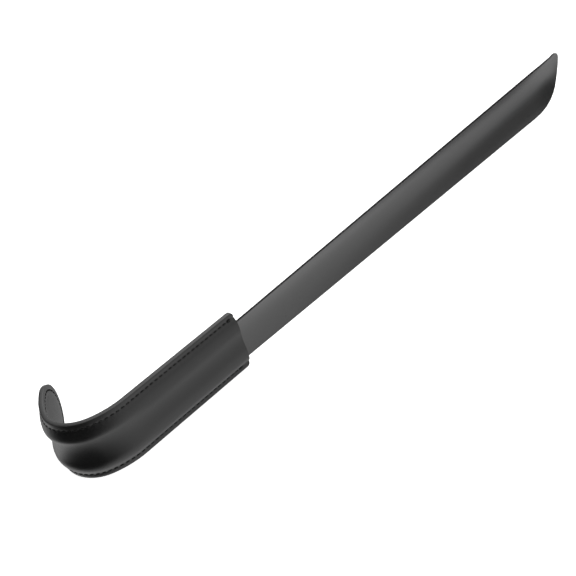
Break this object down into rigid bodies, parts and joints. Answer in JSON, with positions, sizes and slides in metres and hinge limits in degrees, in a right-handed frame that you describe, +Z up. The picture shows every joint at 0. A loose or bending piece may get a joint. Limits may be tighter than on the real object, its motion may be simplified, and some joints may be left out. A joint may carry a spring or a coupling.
{
  "type": "long shoehorn",
  "caption": "Long-handled steel shoehorn with a rounded trough blade and a J-shaped hook handle covered in stitched leather.",
  "frame": {"origin": "middle of the bottom of the whole object's box, with the shoehorn lying on its long edge", "axes": "+X along the shaft towards the blade's tip, +Y towards the inside of the hook, +Z up across the strip's width"},
  "size_m": [0.5996, 0.0934, 0.0508],
  "materials": {
    "coated_steel": "satin black powder coat with a very fine grain",
    "leather_outer": "smooth black leather with a soft sheen, edges painted black",
    "leather_inner": "smooth black leather with a soft sheen, edges painted black",
    "sewing_thread": "twisted black polyester thread, matte"
  },
  "bodies": {
    "root": {"steel_strip": "coated_steel", "outer_leather": "leather_outer", "inner_leather": "leather_inner", "needle_thread": "sewing_thread", "bobbin_thread": "sewing_thread"}
  },
  "joints": []
}
